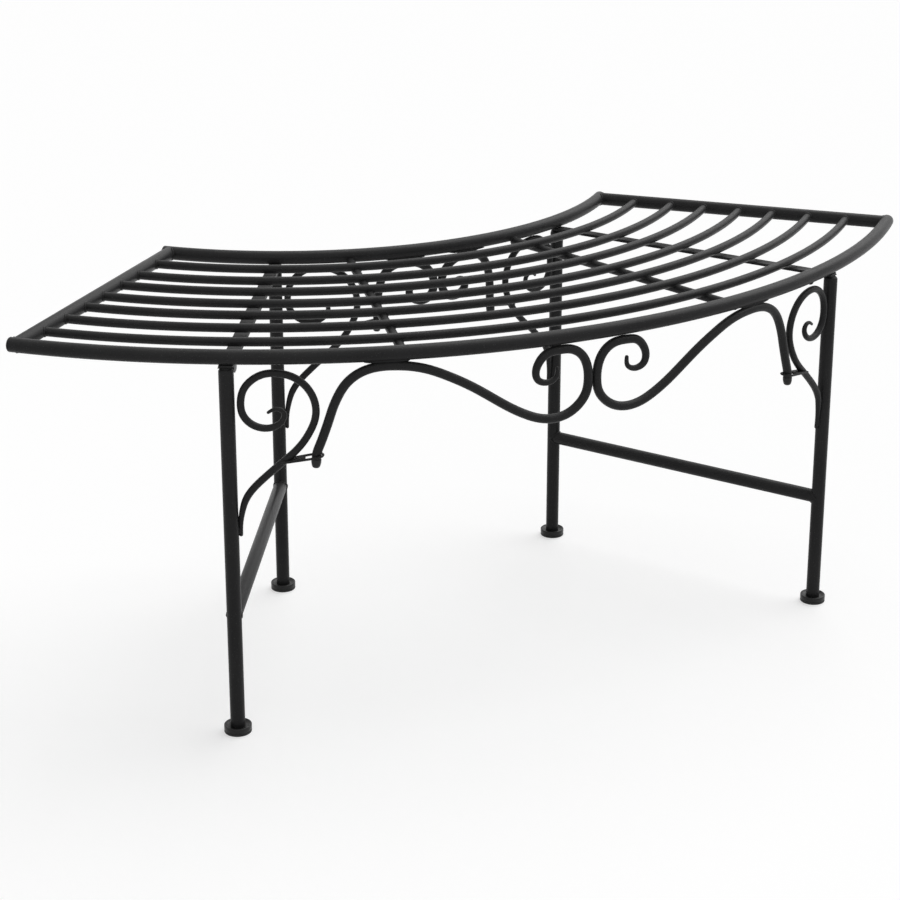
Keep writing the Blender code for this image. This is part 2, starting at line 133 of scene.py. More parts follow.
# Welds: full and small beads, tacks, and the ripples and lumps of their skin
bead_radius = 0.0012
small_bead_radius = bead_radius * 0.8
cross_rod_bead_turns = (math.radians(20), math.radians(160))
leg_ring_inset = bead_radius * 0.6
tack_radius = 0.0015
tack_run = 0.007
tack_end_share = 0.1
tail_tack_share = 0.04
tail_tack_depth_share = 0.8
tail_tack_side_share = 0.9
lug_weld_share = 0.8
wire_tack_run = eyelet_overlap * 1.6
wire_tack_radius = wire_radius * 1.25
crest_weld_radius = 0.0019
crest_weld_run = 0.048
web_beads = 5
web_bead_radius = 0.0012
web_run_share = 0.62
ripple_length = 0.0021
ripple_share = 0.05
lump_share = 0.16
lump_scale = 420.0
weld_seed = 7

# How finely the round forms are drawn
tube_sides = 40
rod_sides = 28
wire_sides = 16
bead_sides = 10
turned_sides = 48
round_steps = 8
shoulder_steps = 16
dish_steps = 12
lip_steps = 5
arc_step = 0.012
saddle_steps = 44
tack_steps = 10
web_steps = 8
wire_bend_steps = 24
wire_dome_steps = 5
scroll_turn_step = math.radians(7)
scroll_length_step = 0.009
scroll_samples = 900
tip_steps = 7

# How ends and edges close: domed ends and turned solids stop at a small share of their radius
dome_stop_share = 0.02
turned_stop_share = 0.02
scroll_start_share = 0.1
dome_margin = 1.1
merge_distance = 0.000001
bar_edge_share = 0.06
rounded_edge_angle = math.radians(50)
rounded_edge_segments = 3
crease_angle = math.radians(38)

# A bracket's centre line from its tail to its curl: how far out and up, as shares
bracket_outline_shares = (
    (0, 0), (0.003, 0.09), (0.029, 0.161), (0.083, 0.238), (0.174, 0.3), (0.32, 0.367),
    (0.517, 0.446), (0.689, 0.513), (0.813, 0.573), (0.917, 0.645), (0.98, 0.711), (1, 0.766),
    (0.985, 0.826), (0.936, 0.881), (0.862, 0.927), (0.763, 0.964), (0.64, 0.989), (0.492, 1),
    (0.344, 0.993), (0.197, 0.958), (0.092, 0.902), (0.051, 0.826), (0.068, 0.76), (0.147, 0.708),
    (0.258, 0.679), (0.375, 0.671), (0.492, 0.684), (0.579, 0.719), (0.597, 0.758),
    (0.548, 0.782), (0.468, 0.783), (0.381, 0.76))

# The front apron's, from the eyelet to its curl: how far from the middle and down, as shares
front_apron_outline_shares = (
    (1, 1), (0.987, 0.871), (0.97, 0.73), (0.954, 0.584), (0.941, 0.459), (0.924, 0.333),
    (0.903, 0.218), (0.873, 0.116), (0.832, 0.041), (0.776, 0), (0.715, 0), (0.665, 0.018),
    (0.604, 0.067), (0.533, 0.162), (0.455, 0.292), (0.381, 0.441), (0.31, 0.588), (0.246, 0.699),
    (0.192, 0.766), (0.141, 0.79), (0.087, 0.764), (0.038, 0.672), (0.008, 0.542), (0, 0.386),
    (0.006, 0.229), (0.033, 0.08), (0.074, 0.009), (0.121, 0), (0.166, 0.024), (0.2, 0.131),
    (0.209, 0.245), (0.2, 0.318), (0.177, 0.356), (0.148, 0.351), (0.129, 0.307), (0.125, 0.245),
    (0.126, 0.19))

# The back apron's
back_apron_outline_shares = (
    (1, 1), (0.989, 0.828), (0.986, 0.642), (0.968, 0.471), (0.927, 0.299), (0.83, 0.127),
    (0.677, 0.027), (0.483, 0), (0.289, 0.034), (0.116, 0.149), (0.026, 0.292), (0, 0.442),
    (0.04, 0.592), (0.13, 0.682), (0.234, 0.704), (0.358, 0.667), (0.441, 0.567), (0.432, 0.471),
    (0.358, 0.416), (0.275, 0.431), (0.238, 0.492))

# The scrolls under each rim. A bracket's reach is measured from its leg's axis, its head gap from
# the rim's underside, and its eyelet's place up its height.
scroll_rows = (
    {"bracket": "outer_bracket", "apron": "front_apron", "eyelet": "front_eyelet",
     "radius": outer_rim_radius, "leg_angle": outer_leg_angle, "reach": 0.0912,
     "head_gap": 0.0054, "height": 0.182, "eyelet_place_share": 0.47, "eyelet_reach": 0.0341,
     "apron_outline_shares": front_apron_outline_shares},
    {"bracket": "inner_bracket", "apron": "back_apron", "eyelet": "back_eyelet",
     "radius": inner_rim_radius, "leg_angle": inner_leg_angle, "reach": 0.0972,
     "head_gap": 0.001, "height": 0.203, "eyelet_place_share": 0.629, "eyelet_reach": 0.0334,
     "apron_outline_shares": back_apron_outline_shares})

# A cap's nose: its radius and how far along, as shares
cap_nose_shares = (
    (1, 0.28), (0.985, 0.38), (0.955, 0.5), (0.91, 0.62), (0.85, 0.74), (0.78, 0.84), (0.69, 0.91),
    (0.56, 0.96), (0.38, 0.99), (0.18, 1))

# A foot's groove: how deep and how high, as shares of its depth and half width
foot_groove_shares = (
    (0, -2), (0.25, -1.4), (0.85, -0.7), (1, 0), (0.85, 0.7), (0.25, 1.4), (0, 2))

# What follows from the sizes
up = Vector((0, 0, 1))
rim_height = seat_height - rim_radius
rim_underside = rim_height - rim_radius
slat_underside = rim_height - slat_radius
cross_rod_height = slat_underside + cross_rod_notch - cross_rod_radius
frame_bar_underside = rim_underside - gap - frame_bar_thickness
leg_top = frame_bar_underside - gap
rim_end_angle = seat_half_angle + (rim_tail + gap + plug_head) / inner_rim_radius
seat_front = outer_rim_radius + rim_radius
seat_back = (inner_rim_radius - rim_radius) * math.cos(rim_end_angle)
arc_centre_y = (seat_front + seat_back) / 2

# From the middle of a tilted eyelet down the apron's axis to the top of the cap
peg_run = wire_radius + cap_radius * math.tan(eyelet_tilt) + gap

sides = {"left": -1, "right": 1}

# Colours
coat_dark = (0.0260, 0.0260, 0.0266, 1)
coat_light = (0.0400, 0.0400, 0.0408, 1)
coat_speck = (0.110, 0.110, 0.112, 1)
# The paler coat of scuffs and rubbed edges; on raised edges it is partly a painted highlight
worn_and_highlight_coat = (0.075, 0.075, 0.076, 1)
plastic_dark = (0.0150, 0.0150, 0.0154, 1)
plastic_light = (0.0260, 0.0260, 0.0266, 1)
dust_colour = (0.120, 0.114, 0.105, 1)
floor_colour = (0.52, 0.52, 0.52, 1)
white = (1, 1, 1, 1)

# Finishes: the coat on the tubes, and how each other finish differs from it. A pair is a range.
coat_on_tube = {
    "name": "coat_on_tube", "colours": (coat_dark, coat_light), "specular": 0.1,
    "roughness": (0.31, 0.41), "speck_strength": 0.6, "dust_roughening": 0.5, "rub_polish": 0.1,
    "scuff_roughening": 0.0, "bump_strength": 0.5, "bump_depth": 0.00021,
    "skin": {"Peel Share": 1.3}, "dust": {"Amount": 0.10}, "rubbed_and_highlit": {"Amount": 0.0},
    "scuffs": {"Amount": 0.0}}
finish_plans = {
    "tube": coat_on_tube,
    "bar": dict(coat_on_tube, name="coat_on_flat_bar", dust={"Amount": 0.12},
                rubbed_and_highlit={"Amount": 0.3}),
    "weld": dict(coat_on_tube, name="coat_over_weld", bump_depth=0.00022,
                 skin={"Peel Share": 1.1}, dust={"Amount": 0.14}, rubbed_and_highlit={"Amount": 0.1}),
    "plastic": dict(
        coat_on_tube, name="moulded_black_plastic", colours=(plastic_dark, plastic_light),
        specular=0.24, roughness=(0.34, 0.44), speck_strength=0.0, dust_roughening=0.0,
        rub_polish=0.0, scuff_roughening=0.25, bump_strength=0.4, bump_depth=0.00006,
        skin={"Grain Scale": 2600.0, "Peel Scale": 600.0, "Peel Share": 0.3},
        # The plastic's raised edges are painted paler: partly rubbed wear, partly a painted
        # highlight on the rims
        dust={"Patch Scale": 90.0, "Amount": 0.06}, rubbed_and_highlit={"Break Scale": 300.0, "Amount": 0.35},
        scuffs={"Amount": 0.4})}

# What the skin and the masks are drawn from; a mask fades in over its range
drift_scale = 14.0
grain_weight = 0.55
tone_range = (0.32, 0.68)
speck_range = (0.55, 0.75)
dust_slope_range = (0.35, 0.98)
dust_patch_range = (0.3, 0.75)
# The raised-edge mask paints edges paler, partly as wear and partly as a painted highlight
raised_edge_range = (0.53, 0.64)
rub_and_highlight_break_range = (0.4, 0.65)
scuff_range = (0.52, 0.7)
scuff_squeeze = (180.0, 180.0, 1300.0)

# Camera: a portrait lens that looks down at the seat from the front left
camera_place = (-1.112, -2.144, 1.127)
camera_yaw = math.radians(-26.48)
camera_pitch = math.radians(18.46)
camera_sensor = 36
camera_lens = 87.2
camera_shift = -0.1

# Stage and lamps
floor_size = 60
floor_roughness = 0.9
floor_glow = 0.57
world_fill = 0.195
ceiling_from = (0.65, 0.2, 1)
ceiling_spread = math.radians(60)
ceiling_strength = 2.3
softbox_place = (-2.0, -2.6, 1.9)
softbox_target = (0, 0, 0.3)
softbox_size = (1.4, 1.4)
softbox_power = 5


def place_object(name, data):
    """A new object in the scene, at the origin."""
    item = bpy.data.objects.new(name, data)
    bpy.context.scene.collection.objects.link(item)
    return item


# ---- Node trees ----

def feed(tree, sockets, values):
    """Give each of these sockets another node's output or a plain value."""
    for label, value in values.items():
        if isinstance(value, bpy.types.NodeSocket):
            tree.links.new(value, sockets[label])
        else:
            sockets[label].default_value = value


def add(tree, kind, values, **settings):
    """A node with its settings and with values for its inputs."""
    node = tree.nodes.new(kind)
    for setting, value in settings.items():
        setattr(node, setting, value)
    feed(tree, node.inputs, values)
    return node


def maths(tree, operation, first, second=0.0):
    """The result of one Math node."""
    return add(tree, "ShaderNodeMath", {0: first, 1: second}, operation=operation).outputs[0]


def times(tree, first, second):
    """The product of two values."""
    return maths(tree, "MULTIPLY", first, second)


def ranged(tree, value, low, high, to_low=0.0, to_high=1.0):
    """A value between low and high carried softly over to another range."""
    values = {"Value": value, "From Min": low, "From Max": high, "To Min": to_low,
              "To Max": to_high}
    return add(tree, "ShaderNodeMapRange", values, interpolation_type="SMOOTHSTEP").outputs[0]


def mixed(tree, share, under, over):
    """Two colours, the second laid over the first by a mask."""
    return add(tree, "ShaderNodeMix", {0: share, 6: under, 7: over}, data_type="RGBA").outputs[2]


def noise(tree, place, scale, detail, roughness=0.5):
    """The value of a noise texture."""
    values = {"Vector": place, "Scale": scale, "Detail": detail, "Roughness": roughness}
    return add(tree, "ShaderNodeTexNoise", values).outputs[0]


def height_of(tree, vector):
    """The Z of a vector."""
    return add(tree, "ShaderNodeSeparateXYZ", {0: vector}).outputs["Z"]


def new_tree(name, kind, inputs, outputs):
    """An empty node tree, what comes into it and what goes out.

    Inputs are named with a first value or a socket's type, and outputs with a socket's type.
    """
    tree = bpy.data.node_groups.new(name, kind)
    for label, value in inputs.items():
        socket_type = {float: "Float", int: "Int", str: value}[type(value)]
        socket = tree.interface.new_socket(label, in_out="INPUT",
                                           socket_type="NodeSocket" + socket_type)
        if socket_type != value:
            socket.default_value = value
    for label, socket_type in outputs.items():
        tree.interface.new_socket(label, in_out="OUTPUT", socket_type="NodeSocket" + socket_type)
    return tree, tree.nodes.new("NodeGroupInput").outputs, tree.nodes.new("NodeGroupOutput").inputs


# ---- Finishes ----

def coat_skin_group():
    """A powder coat's skin: a fine grain, waves of orange peel and lighter specks."""
    tree, given, result = new_tree("coat_skin", "ShaderNodeTree", {
        "Vector": "Vector", "Grain Scale": 1400.0, "Peel Scale": 520.0, "Peel Share": 0.6,
        "Speck Scale": 480.0, "Speck Size": 0.34},
        {"Tone": "Float", "Specks": "Float", "Height": "Float"})
    place = given["Vector"]
    grain = noise(tree, place, given["Grain Scale"], detail=2.0, roughness=0.6)
    peel = noise(tree, place, given["Peel Scale"], detail=1.0)
    drift = noise(tree, place, drift_scale, detail=3.0)
    cells = add(tree, "ShaderNodeTexVoronoi", {"Vector": place, "Scale": given["Speck Scale"]})
    near = ranged(tree, cells.outputs["Distance"], given["Speck Size"], 0.0)
    drawn = add(tree, "ShaderNodeSeparateColor", {0: cells.outputs["Color"]}).outputs[0]
    tone = maths(tree, "ADD", times(tree, grain, grain_weight),
                 times(tree, drift, 1 - grain_weight))
    feed(tree, result, {
        "Tone": ranged(tree, tone, *tone_range),
        "Specks": times(tree, near, ranged(tree, drawn, *speck_range)),
        "Height": maths(tree, "ADD", grain, times(tree, peel, given["Peel Share"]))})
    return tree


def settled_dust(tree, place, patch_scale):
    """The thin dust on whatever faces up, thicker in patches."""
    normal = add(tree, "ShaderNodeNewGeometry", {}).outputs["Normal"]
    facing_up = ranged(tree, height_of(tree, normal), *dust_slope_range)
    patches = noise(tree, place, patch_scale, detail=5.0, roughness=0.65)
    return times(tree, facing_up, ranged(tree, patches, *dust_patch_range))


def rubbed_and_highlit_edges(tree, place, break_scale):
    """Raised edges painted paler: partly rubbed by hands and floors, partly a painted highlight."""
    raised = add(tree, "ShaderNodeNewGeometry", {}).outputs["Pointiness"]
    broken = noise(tree, place, break_scale, detail=4.0, roughness=0.7)
    return times(tree, ranged(tree, raised, *raised_edge_range),
                 ranged(tree, broken, *rub_and_highlight_break_range))


def floor_scuffs(tree, place, reach):
    """Short scratches near the ground, where the feet are dragged over a floor."""
    low = ranged(tree, height_of(tree, place), reach, 0.0)
    squeezed = add(tree, "ShaderNodeVectorMath", {0: place, 1: scuff_squeeze}, operation="MULTIPLY")
    streaks = noise(tree, squeezed.outputs[0], scale=1.0, detail=3.0)
    return times(tree, low, ranged(tree, streaks, *scuff_range))


def mask_group(draw, size_label, size):
    """A node group for a mask that is drawn from a place and a size, then thinned out."""
    inputs = {"Vector": "Vector", size_label: size, "Amount": 1.0}
    tree, given, result = new_tree(draw.__name__, "ShaderNodeTree", inputs, {"Mask": "Float"})
    mask = draw(tree, given["Vector"], given[size_label])
    feed(tree, result, {"Mask": times(tree, mask, given["Amount"])})
    return tree


def new_material(name):
    """A new material: itself, its node tree and the inputs of its shader."""
    material = bpy.data.materials.new(name)
    material.use_nodes = True
    return material, material.node_tree, material.node_tree.nodes["Principled BSDF"].inputs


def make_finish(plan, groups):
    """A finish: a skin in two tones with specks and bumps, then scuffs, worn and painted-highlit
    edges, and dust.
    """
    material, tree, shader = new_material(plan["name"])
    place = add(tree, "ShaderNodeTexCoord", {}).outputs["Object"]
    skin, dust, rubbed_and_highlit, scuffs = (
        add(tree, "ShaderNodeGroup", dict(plan[label], Vector=place), node_tree=group).outputs
        for label, group in groups.items())
    dust, rubbed_and_highlit, scuffs = dust["Mask"], rubbed_and_highlit["Mask"], scuffs["Mask"]
    colour = mixed(tree, skin["Tone"], *plan["colours"])
    colour = mixed(tree, times(tree, skin["Specks"], plan["speck_strength"]), colour, coat_speck)
    # Paler where scuffed, and on raised edges, where it is partly wear and partly a painted
    # highlight
    colour = mixed(tree, maths(tree, "MAXIMUM", scuffs, rubbed_and_highlit), colour, worn_and_highlight_coat)
    roughness = ranged(tree, skin["Tone"], 0.0, 1.0, *plan["roughness"])
    for mask, share in ((dust, plan["dust_roughening"]), (scuffs, plan["scuff_roughening"]),
                        (rubbed_and_highlit, -plan["rub_polish"])):
        roughness = maths(tree, "ADD", roughness, times(tree, mask, share))
    bump = add(tree, "ShaderNodeBump", {"Strength": plan["bump_strength"],
                                        "Distance": plan["bump_depth"], "Height": skin["Height"]})
    feed(tree, shader, {
        "Base Color": mixed(tree, dust, colour, dust_colour), "Metallic": 0.0,
        "Roughness": roughness, "Specular IOR Level": plan["specular"], "Normal": bump.outputs[0]})
    return material


def make_finishes():
    """Every finish, with the node groups that they share."""
    groups = {"skin": coat_skin_group(), "dust": mask_group(settled_dust, "Patch Scale", 38.0),
              "rubbed_and_highlit": mask_group(rubbed_and_highlit_edges, "Break Scale", 120.0),
              "scuffs": mask_group(floor_scuffs, "Reach", 0.005)}
    return {finish: make_finish(plan, groups) for finish, plan in finish_plans.items()}


finishes = make_finishes()


# ---- Geometry Nodes for what is swept along a line ----

def shape_tree(name, sizes):
    """A Geometry Nodes tree: a plan and named sizes come in, and a round piece goes out."""
    inputs = {"Plan": "Geometry", **sizes, "Sides": 24, "Finish": "Material"}
    return new_tree(name, "GeometryNodeTree", inputs, {"Piece": "Geometry"})


def planned_line(tree, given):
    """The plan's lines, and the radius that the plan gives at each point of them."""
    line = add(tree, "GeometryNodeMeshToCurve", {"Mesh": given["Plan"]})
    radius = add(tree, "GeometryNodeInputNamedAttribute", {"Name": "bar_radius"}, data_type="FLOAT")
    return line.outputs["Curve"], radius.outputs["Attribute"]


def sweep(tree, given, result, line, radius):
    """Sweep a circle along the line and hand over the mesh, real and in its finish."""
    circle = add(tree, "GeometryNodeCurvePrimitiveCircle", {
        "Resolution": given["Sides"], "Radius": 1.0}).outputs["Curve"]
    skin = add(tree, "GeometryNodeCurveToMesh", {
        "Curve": line, "Profile Curve": circle, "Scale": radius, "Fill Caps": True})
    real = add(tree, "GeometryNodeRealizeInstances", {"Geometry": skin.outputs["Mesh"]})
    finished = add(tree, "GeometryNodeSetMaterial", {
        "Geometry": real.outputs["Geometry"], "Material": given["Finish"]})
    feed(tree, result, {"Piece": finished.outputs["Geometry"]})
    return tree


def bent_bar_tree():
    """A round bar bent to an arc about the tree: the rims and the slats."""
    tree, given, result = shape_tree("bent_bar", {
        "Arc Radius": 0.6, "Half Angle": 0.8, "Bar Radius": 0.005, "Centre": 0.5, "Height": 0.4,
        "Steps": 60})
    arc = add(tree, "GeometryNodeCurveArc", {
        "Resolution": given["Steps"], "Radius": given["Arc Radius"],
        "Start Angle": maths(tree, "SUBTRACT", -math.pi / 2, given["Half Angle"]),
        "Sweep Angle": times(tree, given["Half Angle"], 2.0)})
    place = add(tree, "ShaderNodeCombineXYZ", {"Y": given["Centre"], "Z": given["Height"]})
    line = add(tree, "GeometryNodeSetPosition", {
        "Geometry": arc.outputs["Curve"], "Offset": place.outputs[0]})
    return sweep(tree, given, result, line.outputs["Geometry"], given["Bar Radius"])


def drawn_bar_tree():
    """A round bar along the plan's line, as thick as the plan says."""
    tree, given, result = shape_tree("drawn_bar", {})
    return sweep(tree, given, result, *planned_line(tree, given))


def weld_bead_tree():
    """A weld along each line of the plan: even ripples and a few soft lumps."""
    tree, given, result = shape_tree("weld_bead", {
        "Ripple Length": 0.002, "Ripple Share": 0.05, "Lump Share": 0.15, "Seed": 1.0})
    line, radius = planned_line(tree, given)
    length = add(tree, "GeometryNodeSplineLength", {}).outputs["Length"]
    count = maths(tree, "ROUND", maths(tree, "DIVIDE", length, given["Ripple Length"]))
    along = add(tree, "GeometryNodeSplineParameter", {}).outputs["Factor"]
    turns = times(tree, times(tree, along, count), 2 * math.pi)
    ripples = times(tree, maths(tree, "SINE", turns), given["Ripple Share"])
    place = add(tree, "GeometryNodeInputPosition", {}).outputs[0]
    lumps = add(tree, "ShaderNodeTexNoise", {
        "Vector": place, "W": given["Seed"], "Scale": lump_scale, "Detail": 1.0},
        noise_dimensions="4D").outputs[0]
    lumps = times(tree, maths(tree, "SUBTRACT", lumps, 0.5), given["Lump Share"])
    uneven = maths(tree, "ADD", maths(tree, "ADD", 1.0, ripples), lumps)
    return sweep(tree, given, result, line, times(tree, radius, uneven))


shapes = {"bent_bar": bent_bar_tree(), "drawn_bar": drawn_bar_tree(),
          "weld_bead": weld_bead_tree()}


def line_plan(lines):
    """A plan of lines: each is its points, its radii and whether it closes on itself."""
    points, edges, radii = [], [], []
    for line, line_radii, closed in lines:
        first = len(points)
        points += line
        radii += line_radii
        edges += [(first + i, first + i + 1) for i in range(len(line) - 1)]
        if closed:
            edges.append((first + len(line) - 1, first))
    plan = bpy.data.meshes.new("plan")
    plan.from_pydata(points, edges, [])
    plan.attributes.new("bar_radius", "FLOAT", "POINT").data.foreach_set("value", radii)
    return plan


def round_edges(mesh, width):
    """Round every sharp edge of a mesh in progress."""
    sharp = [edge for edge in mesh.edges
             if len(edge.link_faces) == 2 and edge.calc_face_angle() > rounded_edge_angle]
    bmesh.ops.bevel(mesh, geom=sharp, offset=width, segments=rounded_edge_segments, profile=0.5,
                    affect="EDGES")


def hand_over(name, mesh, finish, nodes=(), edge=0.0):
    """A finished piece that stands for these nodes, from a mesh in progress."""
    bmesh.ops.remove_doubles(mesh, verts=mesh.verts, dist=merge_distance)
    if edge:
        round_edges(mesh, edge)
    bmesh.ops.recalc_face_normals(mesh, faces=mesh.faces)
    data = bpy.data.meshes.new(name)
    mesh.to_mesh(data)
    mesh.free()
    data.materials.clear()
    data.materials.append(finishes[finish])
    data.shade_smooth()
    data.set_sharp_from_angle(angle=crease_angle)
    piece = place_object(name, data)
    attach(piece, "root")
    if nodes:
        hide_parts(*nodes)


def hand_over_shape(name, shape, sizes, finish, nodes=(), edge=0.0, plan=None):
    """Run one of the shape trees with these sizes and hand the result over."""
    carrier = place_object("carrier", plan or bpy.data.meshes.new("plan"))
    modifier = carrier.modifiers.new(shape, "NODES")
    modifier.node_group = shapes[shape]
    values = dict(sizes, Finish=finishes[finish])
    for socket in shapes[shape].interface.items_tree:
        if socket.in_out == "INPUT" and socket.name in values:
            modifier[socket.identifier] = values[socket.name]
    evaluated = carrier.evaluated_get(bpy.context.evaluated_depsgraph_get())
    baked = bpy.data.meshes.new_from_object(evaluated)
    mesh = bmesh.new()
    mesh.from_mesh(baked)
    bpy.data.meshes.remove(baked)
    bpy.data.objects.remove(carrier)
    hand_over(name, mesh, finish, nodes, edge)


# ---- Lines and places ----

def arc_point(radius, along, height):
    """The point this far round an arc of the bench, from its middle towards the right."""
    angle = along / radius
    return Vector((radius * math.sin(angle), arc_centre_y - radius * math.cos(angle), height))


def ray_point(radius, angle, height):
    """The point of an arc of the bench at this angle from its middle towards the right."""
    return arc_point(radius, radius * angle, height)


def outward(point):
    """The level direction away from the tree at a point."""
    return Vector((point.x, point.y - arc_centre_y, 0)).normalized()


def rightward(point):
    """The level direction along the arc at a point, towards the right."""
    return up.cross(outward(point))


def steps_to(end, steps):
    """Even steps from 0 to the end, both of them included."""
    return [end * i / steps for i in range(steps + 1)]


def full_circle(steps):
    """Even turns round a circle, the first one not repeated."""
    return steps_to(2 * math.pi, steps)[:-1]


def smooth_line(points):
    """Many points on a natural cubic spline through a few, over its chords' lengths."""
    points = np.array(points)
    knots = np.concatenate([[0], np.cumsum(np.linalg.norm(np.diff(points, axis=0), axis=1))])
    steps = np.diff(knots)[:, None]
    slopes = np.diff(points, axis=0) / steps
    count = len(points)
    system = np.eye(count)
    target = np.zeros_like(points)
    for i in range(1, count - 1):
        system[i, i - 1:i + 2] = steps[i - 1, 0], 2 * (steps[i - 1, 0] + steps[i, 0]), steps[i, 0]
        target[i] = 6 * (slopes[i] - slopes[i - 1])
    bend = np.linalg.solve(system, target)
    line = []
    for along in np.linspace(0, knots[-1], scroll_samples):
        i = min(np.searchsorted(knots, along, side="right") - 1, count - 2)
        before, after, step = along - knots[i], knots[i + 1] - along, steps[i, 0]
        line.append((bend[i] * after ** 3 + bend[i + 1] * before ** 3) / (6 * step)
                    + (points[i] / step - bend[i] * step / 6) * after
                    + (points[i + 1] / step - bend[i + 1] * step / 6) * before)
    return np.array(line)


def draw_scroll(outline, start_radius, tip_radius):
    """A scroll's centre line, close-set at its curls and ends, and the lengths along it."""
    line = smooth_line(outline)
    chords = np.diff(line, axis=0)
    lengths = np.linalg.norm(chords, axis=1)
    headings = np.unwrap(np.arctan2(chords[:, 1], chords[:, 0]))
    turns = np.abs(np.diff(headings, prepend=headings[0]))
    efforts = turns / scroll_turn_step + lengths / scroll_length_step
    effort = np.concatenate([[0], np.cumsum(efforts)])
    along = np.concatenate([[0], np.cumsum(lengths)])
    total = along[-1]
    wanted = np.linspace(0, effort[-1], math.ceil(effort[-1]) + 1)
    places = np.interp(wanted, effort, along)
    between = (places > start_radius * dome_margin) & (places < total - tip_radius * dome_margin)
    dome = 1 - np.sin(np.linspace(0, math.pi / 2, tip_steps))
    places = np.concatenate([(start_radius * dome)[::-1], places[between],
                             total - tip_radius * dome])
    out, height = (np.interp(places, along, line[:, i]).tolist() for i in (0, 1))
    return list(zip(out, height)), places.tolist()


def dome_radius(radius, inside):
    """The radius of a domed end this far inside it, as a share of the full radius."""
    return radius * math.sqrt(max(dome_stop_share ** 2, 1 - (1 - inside) ** 2))


def domed(places, radii):
    """The same radii with a rounded end at the start and at the tip."""
    total = places[-1]
    return [dome_radius(radius, min(1, place / radii[0], (total - place) / radii[-1]))
            for place, radius in zip(places, radii)]


def tapered(shares, radius, tip_radius, tip_run_share):
    """Radii along a scroll that is drawn down to its tip over the last run."""
    start = 1 - tip_run_share
    drawn = [max(0, (share - start) / tip_run_share) ** 2 for share in shares]
    return [radius + (tip_radius - radius) * share for share in drawn]


def quarter_round(radius, steps=round_steps):
    """(across, along) pairs of a rounded edge, from where it leaves the side to where it ends."""
    return [(radius * math.cos(a) - radius, radius * math.sin(a) - radius)
            for a in steps_to(math.pi / 2, steps)]


def turned(base, axis, profile):
    """A turned solid in progress: the profile lists (radius, distance along the axis)."""
    mesh = bmesh.new()
    first = axis.orthogonal().normalized()
    second = axis.cross(first)
    rays = [math.cos(a) * first + math.sin(a) * second for a in full_circle(turned_sides)]
    rings = [[mesh.verts.new(base + axis * distance + radius * ray) for ray in rays]
             for radius, distance in profile]
    for lower, upper in zip(rings, rings[1:]):
        for i in range(turned_sides):
            j = (i + 1) % turned_sides
            mesh.faces.new((lower[i], lower[j], upper[j], upper[i]))
    mesh.faces.new(rings[0])
    mesh.faces.new(rings[-1])
    return mesh


def plate(corner_points, thickness):
    """A flat plate in progress: an outline of points pushed out by a vector."""
    mesh = bmesh.new()
    near = [mesh.verts.new(point) for point in corner_points]
    far = [mesh.verts.new(point + thickness) for point in corner_points]
    mesh.faces.new(near)
    mesh.faces.new(far)
    for i in range(len(near)):
        j = (i + 1) % len(near)
        mesh.faces.new((near[i], near[j], far[j], far[i]))
    return mesh


# ---- Bars and welds ----

def bent_bar(node, form, radius, half_angle, bar_radius, bar_sides):
    """One rim or slat, bent about the tree."""
    steps = 2 * math.ceil(radius * half_angle / arc_step) + 1
    sizes = {"Arc Radius": radius, "Half Angle": half_angle, "Bar Radius": bar_radius,
             "Centre": arc_centre_y, "Height": rim_height, "Steps": steps, "Sides": bar_sides}
    hand_over_shape(node + form, "bent_bar", sizes, "tube", (node,), bar_radius * bar_edge_share)


def drawn_bar(node, form, line, radii, bar_sides, edge=0.0):
    """One scroll or wire along its centre line."""
    plan = line_plan([(line, radii, False)])
    hand_over_shape(node + form, "drawn_bar", {"Sides": bar_sides}, "tube", (node,), edge, plan)


def straight_bar(node, form, ends, bar_radius, bar_sides):
    """One straight tube or rod between two points."""
    drawn_bar(node, form, ends, [bar_radius] * 2, bar_sides, bar_radius * bar_edge_share)


def saddle(joint, along_rod, along_tube, rod_radius, tube_radius, lift=0.0, turn_range=None):
    """The line where a rod's skin meets the skin of the tube that it butts against.

    The joint is where the rod's axis meets the tube's, once the rod is moved back by the lift. The
    line closes on itself, unless a range of turns from the tube's direction is given.
    """
    across = along_rod.cross(along_tube)
    if across.z < 0:
        across = -across
    turns = full_circle(saddle_steps)
    if turn_range:
        start, end = turn_range
        turns = [start + turn for turn in steps_to(end - start, saddle_steps // 2 - 1)]
    points = []
    for turn in turns:
        side = lift + rod_radius * math.sin(turn)
        reach = math.sqrt(max(0, tube_radius ** 2 - side ** 2))
        point = (joint + along_tube * (rod_radius * math.cos(turn)) + across * side
                 + along_rod * reach)
        point.z = min(point.z, seat_height - bead_radius * (1 + ripple_share + lump_share))
        points.append(point)
    return points, [bead_radius] * len(points), turn_range is None


def notch_line(centre, along_slat, along_cross_rod):
    """The line round a slat where it lies in the notch of the cross rod below it."""
    drop = rim_height - cross_rod_height
    lowest, highest = slat_radius, drop - cross_rod_radius
    points = []
    for turn in full_circle(saddle_steps):
        down = (lowest + highest) / 2 + (lowest - highest) / 2 * math.cos(2 * turn)
        beside_slat, beside_rod = (
            math.copysign(math.sqrt(max(0, radius ** 2 - depth ** 2)), way)
            for radius, depth, way in ((slat_radius, down, math.sin(turn)),
                                       (cross_rod_radius, drop - down, math.cos(turn))))
        points.append(centre - up * down + along_cross_rod * beside_slat + along_slat * beside_rod)
    return points, [small_bead_radius] * len(points), True


def tack(centre, along, run=tack_run, radius=tack_radius):
    """A short spot of weld in the groove between two rods that lie side by side."""
    shares = [math.sin(a - math.pi / 2) for a in steps_to(math.pi, tack_steps)]
    points = [centre + along * (share * run / 2) for share in shares]
    radii = [radius * math.sqrt(max(tack_end_share ** 2, 1 - share ** 2)) for share in shares]
    return points, radii, False


def lay_welds(name, lines):
    """One piece for all the beads of one kind of joint."""
    sizes = {"Sides": bead_sides, "Ripple Length": ripple_length, "Ripple Share": ripple_share,
             "Lump Share": lump_share, "Seed": float(weld_seed)}
    hand_over_shape(name, "weld_bead", sizes, "weld", plan=line_plan(lines))


# ---- Seat ----

